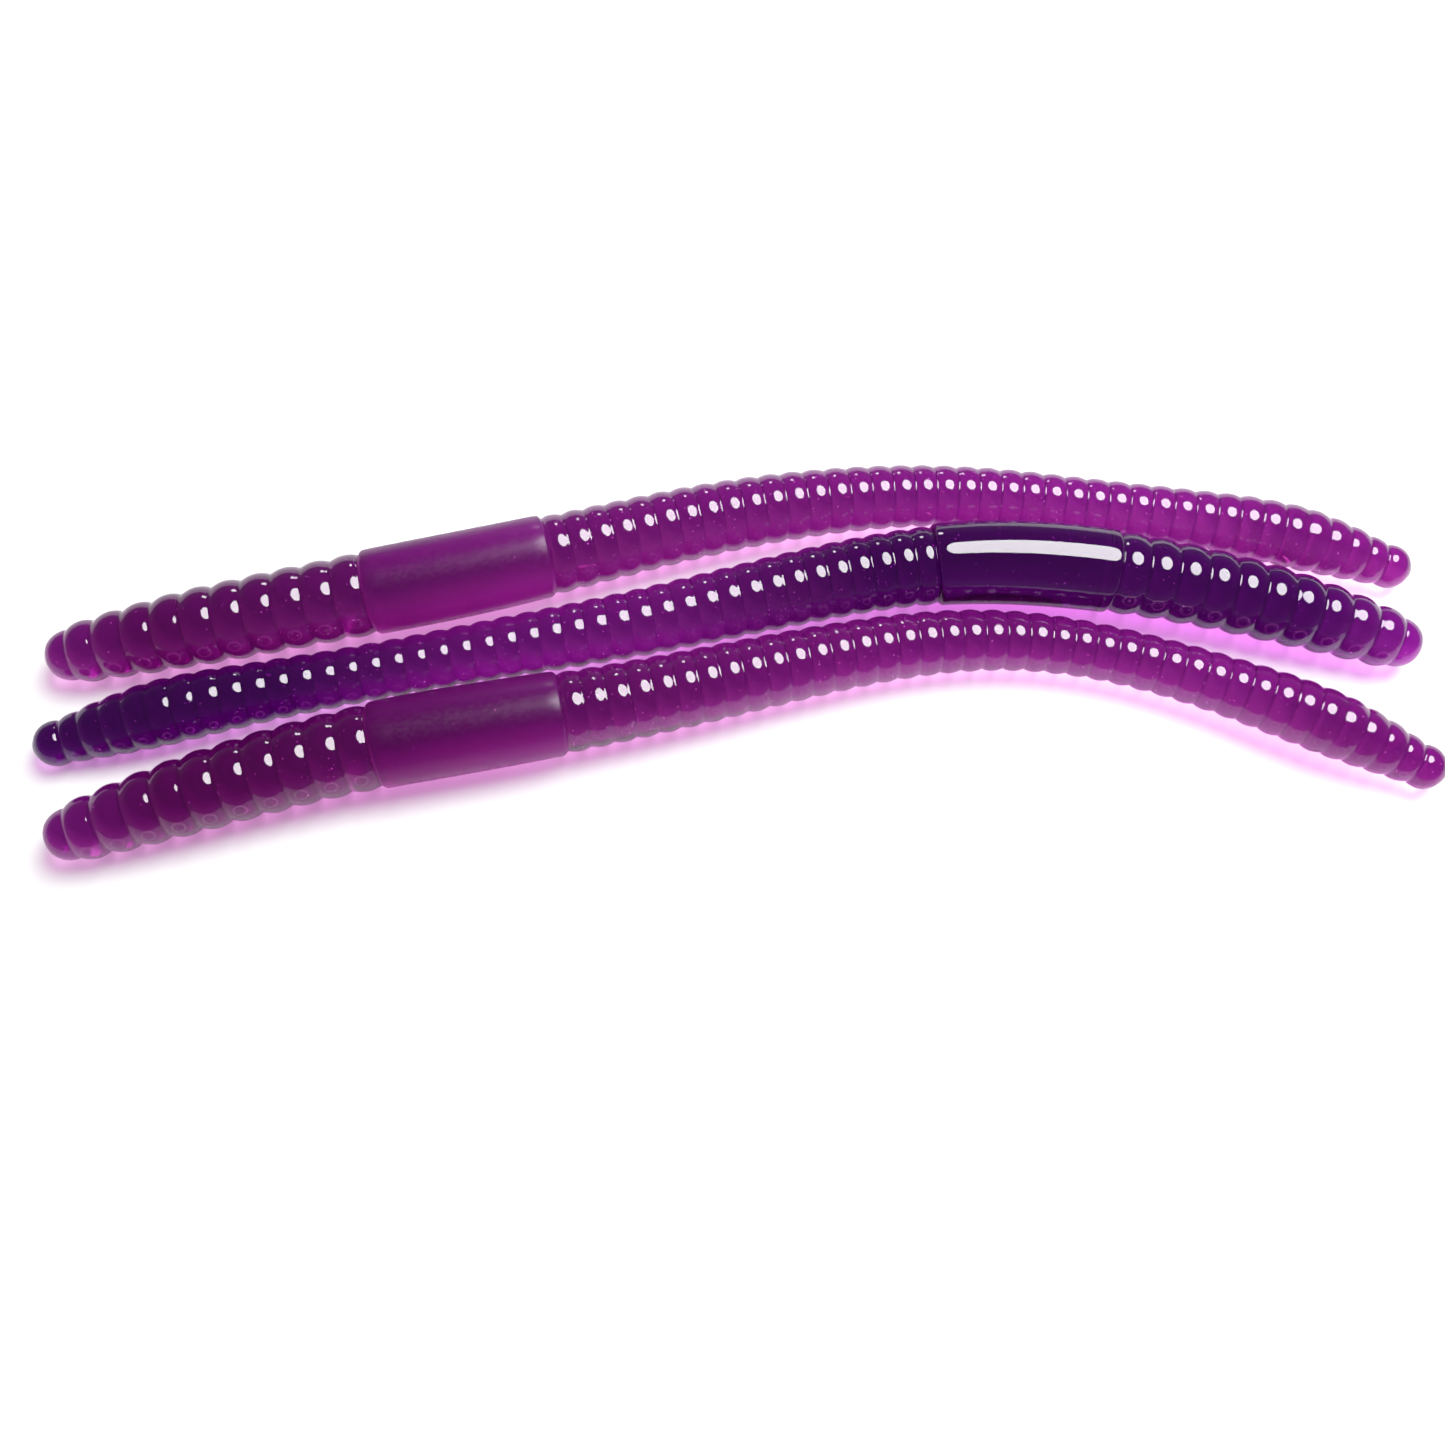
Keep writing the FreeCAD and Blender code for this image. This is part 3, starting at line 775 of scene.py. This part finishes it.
def dyed_plastic(name, absorption, dyes, finish, ior):
    """Clear plastic that takes off light by the distance through it.

    Lamps shine through it without bending, more where they meet it square on, as the round body
    gathers light under its middle. The flat ends where two stretches meet are left transparent,
    so that the light passes from one stretch to the next as in one moulding.
    """
    material, nodes, links, output = new_material(name)
    shader = nodes.new("ShaderNodeBsdfPrincipled")
    shader.inputs["IOR"].default_value = ior
    shader.inputs["Transmission Weight"].default_value = bpy.context.scene.soft_worm_plastic.clearness
    dye_and_light_look = nodes.new("ShaderNodeGroup")
    dye_and_light_look.node_tree = dye_and_painted_light_group()
    dye_and_light_look.inputs["Dye"].default_value = (*dyes[0], 1.0)
    dye_and_light_look.inputs["Pale Colour"].default_value = (*dyes[1], 1.0)
    links.new(dye_and_light_look.outputs["Color"], shader.inputs["Base Color"])
    roughness = ranged(nodes, links, dye_and_light_look.outputs["Speckle"], 0.4, 0.7, *finish)
    links.new(roughness, shader.inputs["Roughness"])
    bump = nodes.new("ShaderNodeBump")
    bump.inputs["Strength"].default_value = 0.05
    bump.inputs["Distance"].default_value = 0.012 * MM
    links.new(dye_and_light_look.outputs["Height"], bump.inputs["Height"])
    links.new(bump.outputs["Normal"], shader.inputs["Normal"])
    clear = nodes.new("ShaderNodeBsdfTransparent")
    slant = nodes.new("ShaderNodeLayerWeight")
    gather = ranged(nodes, links, slant.outputs["Facing"], 0.0, GATHER_SLANT, *GATHER_LIGHT)
    seam = attribute(nodes, "seam", "Fac")
    passing = mixed(nodes, links, "MIX", seam, gather, WHITE)
    light = nodes.new("ShaderNodeLightPath")
    open_to = nodes.new("ShaderNodeMath")
    open_to.operation = "MAXIMUM"
    joined = nodes.new("ShaderNodeMixShader")
    links.new(passing, clear.inputs["Color"])
    links.new(seam, open_to.inputs[0])
    links.new(light.outputs["Is Shadow Ray"], open_to.inputs[1])
    links.new(open_to.outputs[0], joined.inputs[0])
    links.new(shader.outputs[0], joined.inputs[1])
    links.new(clear.outputs[0], joined.inputs[2])
    links.new(joined.outputs[0], output.inputs["Surface"])
    dye = nodes.new("ShaderNodeVolumeAbsorption")
    density = max(absorption) * 1.25
    dye.inputs["Density"].default_value = density
    dye.inputs["Color"].default_value = (*[1 - part / density for part in absorption], 1.0)
    links.new(dye.outputs[0], output.inputs["Volume"])
    return material


def bubble_look():
    """Little bubbles whose pale colour is a painted glint, for the light that air bubbles catch from the
    lamp; one material for every worm.
    """
    if "bubbles" in bpy.data.materials:
        return bpy.data.materials["bubbles"]
    material, nodes, links, output = new_material("bubbles")
    shader = nodes.new("ShaderNodeBsdfPrincipled")
    shader.inputs["Base Color"].default_value = BUBBLE_GLINT_COLOUR
    shader.inputs["Roughness"].default_value = 0.2
    links.new(shader.outputs[0], output.inputs["Surface"])
    return material


def pale_surface():
    """A plain pale surface with a faint unevenness."""
    material, nodes, links, output = new_material("pale_surface")
    shader = nodes.new("ShaderNodeBsdfPrincipled")
    grain = nodes.new("ShaderNodeTexNoise")
    grain.inputs["Scale"].default_value = 400.0
    place = nodes.new("ShaderNodeTexCoord")
    links.new(place.outputs["Object"], grain.inputs["Vector"])
    tint = mixed(nodes, links, "MIX", grain.outputs["Fac"], (0.84, 0.84, 0.84, 1.0), (0.88, 0.88, 0.88, 1.0))
    links.new(tint, shader.inputs["Base Color"])
    shader.inputs["Roughness"].default_value = 0.7
    links.new(shader.outputs[0], output.inputs["Surface"])
    return material


# ---------------------------------------------------------------------------------------
# Operators
# ---------------------------------------------------------------------------------------

class SOFTWORM_OT_worm(bpy.types.Operator):
    """Build the skin of one worm in nine stretches around its frame."""

    bl_idname = "soft_worm.worm"
    bl_label = "Build worm skin"
    worm: EnumProperty(name="Worm", description="Which worm", items=WORM_CHOICES)

    def execute(self, context):
        scene = context.scene
        sizes, plastic = scene.soft_worm_sizes, scene.soft_worm_plastic
        outer = self.worm != "middle_worm"
        absorption = plastic.outer_absorption if outer else plastic.middle_absorption
        dyes = ((plastic.outer_dye, plastic.outer_pale_colour) if outer
                else (plastic.middle_dye, plastic.middle_pale_colour))
        material = dyed_plastic(f"{self.worm}_plastic", absorption, dyes, plastic.glossy_finish,
                                plastic.ior)
        band_finish, band_ior = ((plastic.matte_finish, plastic.matte_ior) if outer
                                 else (plastic.glossy_finish, plastic.ior))
        band_material = dyed_plastic(f"{self.worm}_band_plastic", absorption, dyes, band_finish,
                                     band_ior)
        bubble_material = bubble_look()
        axis = Axis(self.worm, sizes)
        for index, stretch in enumerate(STRETCHES):
            name = f"{self.worm}_{stretch}_skin"
            mesh = skin_mesh(sizes, axis, index, name)
            skin = add_piece(name, mesh, band_material if stretch == "band" else material)
            follow_frame(skin, sizes, axis, self.worm, index)
            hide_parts(f"{self.worm}_{stretch}")
            name = f"{self.worm}_{stretch}_bubbles"
            bubbles = add_piece(name, bubble_mesh(sizes, axis, index, name), bubble_material)
            follow_frame(bubbles, sizes, axis, self.worm, index)
        return {"FINISHED"}


def follow_frame(piece, sizes, axis, worm, index):
    """A stiff piece rides on its stretch of the frame. For any other piece the span about its hinge, over
    the middle of its own length, is worked out and its transform is baked, but nothing makes it bend.

    For the first stretch of the tail the span is its first rib only, as its hinge is at its start and the
    rest of it lies against the next worm, which it must not be pushed into.
    """
    before, after = SKIN_BENDS[index]
    if before == after:
        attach(piece, f"{worm}_{STRETCHES[before]}")
        return
    start_mark = SKIN_ENDS[index - 1] if index else ("head", 0)
    start = groove_station(sizes, *start_mark) if index else 0.0
    end = min(groove_station(sizes, *SKIN_ENDS[index]), axis.knots[-1])
    hinge = axis.knots[after]
    reach = max(min(hinge - start, end - hinge) - BEND_MARGIN, 0.0)
    low, high = hinge - reach, hinge + reach
    if reach < SHORTEST_BEND:
        low, high = start + BEND_MARGIN, end - BEND_MARGIN
    if STRETCHES[index] == "tail_1":
        low, high = start + TAIL_START_BEND[0], start + TAIL_START_BEND[1]
    points = axis.at(np.array([low, high]))[0]
    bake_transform(piece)


class SOFTWORM_OT_stage(bpy.types.Operator):
    """Set the pale surface, the soft lamp, the dim room and the camera."""

    bl_idname = "soft_worm.stage"
    bl_label = "Set the stage"

    def execute(self, context):
        stage = context.scene.soft_worm_stage
        add_surface()
        add_lamp("soft_lamp", stage.lamp_toward, stage.lamp_away, stage.lamp_size, stage.lamp_power)
        add_lamp("low_window", stage.window_toward, stage.lamp_away, stage.window_size,
                 stage.window_power)
        add_room(stage)
        add_camera(stage)
        context.scene.view_settings.view_transform = "Standard"
        context.scene.cycles.transparent_max_bounces = 32
        context.scene.cycles.caustics_refractive = False
        return {"FINISHED"}


def add_surface():
    half = 3.0
    mesh = bpy.data.meshes.new("surface")
    mesh.from_pydata([(-half, -half, 0), (half, -half, 0), (half, half, 0), (-half, half, 0)],
                     [], [(0, 1, 2, 3)])
    add_piece("surface", mesh, pale_surface())


def add_lamp(name, toward, away, size, power):
    """A round soft lamp that faces the middle of the worms."""
    light = bpy.data.lights.new(name, "AREA")
    light.shape = "DISK"
    light.size = size
    light.energy = power
    lamp = bpy.data.objects.new(name, light)
    toward = toward.normalized()
    lamp.location = toward * away
    lamp.rotation_euler = toward.to_track_quat("Z", "Y").to_euler()
    bpy.context.scene.collection.objects.link(lamp)


def add_room(stage):
    """A dim room, paler near the horizon: brightness falls from low to high with height."""
    world = bpy.data.worlds.new("dim_room")
    world.use_nodes = True
    nodes, links = world.node_tree.nodes, world.node_tree.links
    nodes.clear()
    place = nodes.new("ShaderNodeTexCoord")
    split = nodes.new("ShaderNodeSeparateXYZ")
    ramp = nodes.new("ShaderNodeMapRange")
    ramp.interpolation_type = "SMOOTHSTEP"
    ramp.inputs["From Min"].default_value = 0.05
    ramp.inputs["From Max"].default_value = 0.45
    ramp.inputs["To Min"].default_value = stage.world_low
    ramp.inputs["To Max"].default_value = stage.world_high
    background = nodes.new("ShaderNodeBackground")
    output = nodes.new("ShaderNodeOutputWorld")
    links.new(place.outputs["Generated"], split.inputs[0])
    links.new(split.outputs["Z"], ramp.inputs["Value"])
    links.new(ramp.outputs["Result"], background.inputs["Strength"])
    links.new(background.outputs[0], output.inputs["Surface"])
    bpy.context.scene.world = world


def add_camera(stage):
    """A camera that looks down at the worms, leaning a little about its own line of sight."""
    camera_data = bpy.data.cameras.new("camera")
    camera_data.sensor_width = 36.0
    camera_data.lens = stage.camera_lens
    camera_data.clip_start = 0.001
    camera = bpy.data.objects.new("camera", camera_data)
    place, aim = Vector(stage.camera_at), Vector(stage.camera_aim)
    look = (aim - place).normalized()
    level = look.cross(Vector((0, 0, 1))).normalized()
    right = level * math.cos(stage.camera_roll) + level.cross(look) * math.sin(stage.camera_roll)
    up = right.cross(look)
    turn = Matrix((right, up, -look)).transposed()
    camera.matrix_world = Matrix.Translation(place) @ turn.to_4x4()
    bpy.context.scene.collection.objects.link(camera)
    bpy.context.scene.camera = camera


class SOFTWORM_PT_panel(bpy.types.Panel):
    """Sizes, finishes and buttons of the soft worms."""

    bl_idname = "SOFTWORM_PT_panel"
    bl_label = "Soft Worms"
    bl_space_type = "VIEW_3D"
    bl_region_type = "UI"
    bl_category = "Soft Worms"

    def draw(self, context):
        for name in ("soft_worm_sizes", "soft_worm_plastic", "soft_worm_stage"):
            group = getattr(context.scene, name)
            box = self.layout.box()
            for prop in group.bl_rna.properties.keys():
                if prop not in ("rna_type", "name"):
                    box.prop(group, prop)
        for worm in WORMS:
            self.layout.operator(SOFTWORM_OT_worm.bl_idname, text=worm).worm = worm
        self.layout.operator(SOFTWORM_OT_stage.bl_idname)


GROUPS = {
    "soft_worm_sizes": SoftWormSizes,
    "soft_worm_plastic": SoftWormPlastic,
    "soft_worm_stage": SoftWormStage,
}
CLASSES = [*GROUPS.values(), SOFTWORM_OT_worm, SOFTWORM_OT_stage, SOFTWORM_PT_panel]


def register():
    for cls in CLASSES:
        bpy.utils.register_class(cls)
    for name, group in GROUPS.items():
        setattr(bpy.types.Scene, name, PointerProperty(type=group))


def unregister():
    for name in GROUPS:
        delattr(bpy.types.Scene, name)
    for cls in reversed(CLASSES):
        bpy.utils.unregister_class(cls)


def main():
    register()
    bpy.ops.soft_worm.stage()
    for worm in WORMS:
        bpy.ops.soft_worm.worm(worm=worm)


if __name__ == "__main__":
    main()
